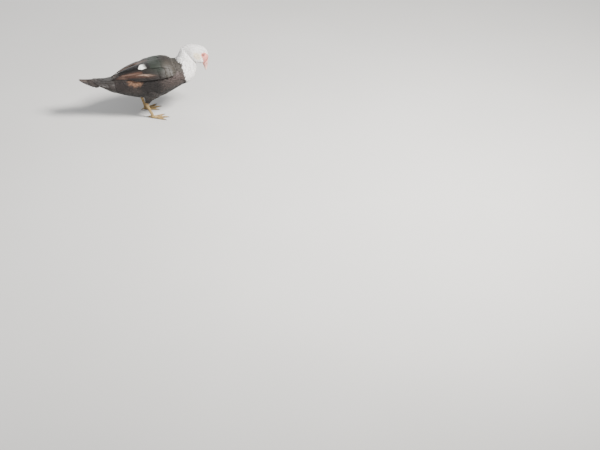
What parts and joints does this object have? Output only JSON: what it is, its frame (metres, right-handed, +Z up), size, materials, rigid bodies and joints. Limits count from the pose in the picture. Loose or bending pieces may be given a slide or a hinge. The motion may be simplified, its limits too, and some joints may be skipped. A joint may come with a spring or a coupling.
{
  "type": "muscovy duck",
  "caption": "Still, life-size muscovy duck standing with its head and bill hanging down, dark body and white head and neck.",
  "frame": {"origin": "on the floor, under the middle of the bird's length and breadth", "axes": "+X towards the breast and bill, +Y towards the bird's left side, +Z up"},
  "size_m": [0.6037, 0.1892, 0.3323],
  "materials": {
    "plumage_dark": "matt grey-brown body feathers",
    "plumage_wing": "dark wing feathers with a soft green gloss",
    "plumage_tail": "dark grey-brown tail feathers",
    "plumage_white": "matt white head and neck feathers",
    "bill": "smooth pink horn, paler at the tip",
    "eye": "wet dark brown eye",
    "leg_skin": "dull yellow-grey scaled leg skin",
    "claw": "dark claw horn"
  },
  "bodies": {
    "root": {"torso": "plumage_dark", "wing_left": "plumage_wing", "wing_right": "plumage_wing", "tail": "plumage_tail", "thigh_left": "plumage_dark", "thigh_right": "plumage_dark", "neck": "plumage_white", "head": "plumage_white", "bill_upper": "bill", "bill_lower": "bill", "eye_left": "eye", "eye_right": "eye", "shank_left": "leg_skin", "shank_right": "leg_skin", "foot_left": "leg_skin", "foot_right": "leg_skin", "claw_left_inner": "claw", "claw_left_middle": "claw", "claw_left_outer": "claw", "claw_left_hind": "claw", "claw_right_inner": "claw", "claw_right_middle": "claw", "claw_right_outer": "claw", "claw_right_hind": "claw"}
  },
  "joints": []
}
